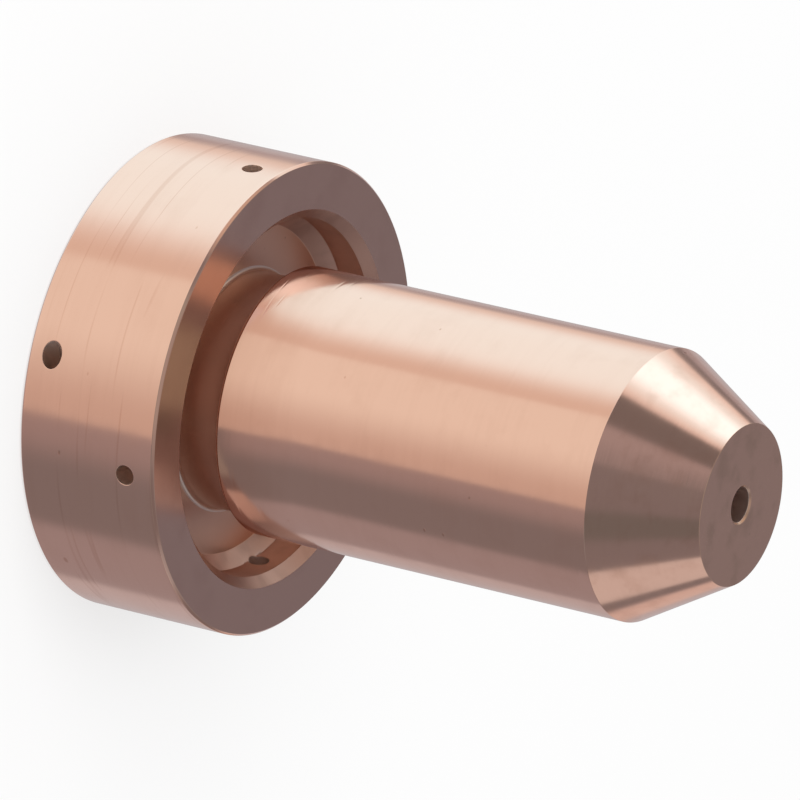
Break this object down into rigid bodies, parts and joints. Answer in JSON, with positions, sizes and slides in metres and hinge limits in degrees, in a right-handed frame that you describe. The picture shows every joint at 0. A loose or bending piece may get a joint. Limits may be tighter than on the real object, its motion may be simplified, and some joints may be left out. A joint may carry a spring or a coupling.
{
  "type": "plasma torch nozzle",
  "caption": "Turned copper nozzle for a plasma cutting torch: tapered barrel on a flange with a gas recess, cross-drilled gas holes and a central orifice.",
  "frame": {"origin": "middle of the flange's rear face, on which the nozzle stands", "axes": "+Z along the bore, from the rear face to the tip; one bleed hole of the rim on +X"},
  "size_m": [0.019, 0.019, 0.0269],
  "materials": {
    "copper": "fine turned copper, bright"
  },
  "bodies": {
    "root": {"nozzle": "copper"}
  },
  "joints": []
}
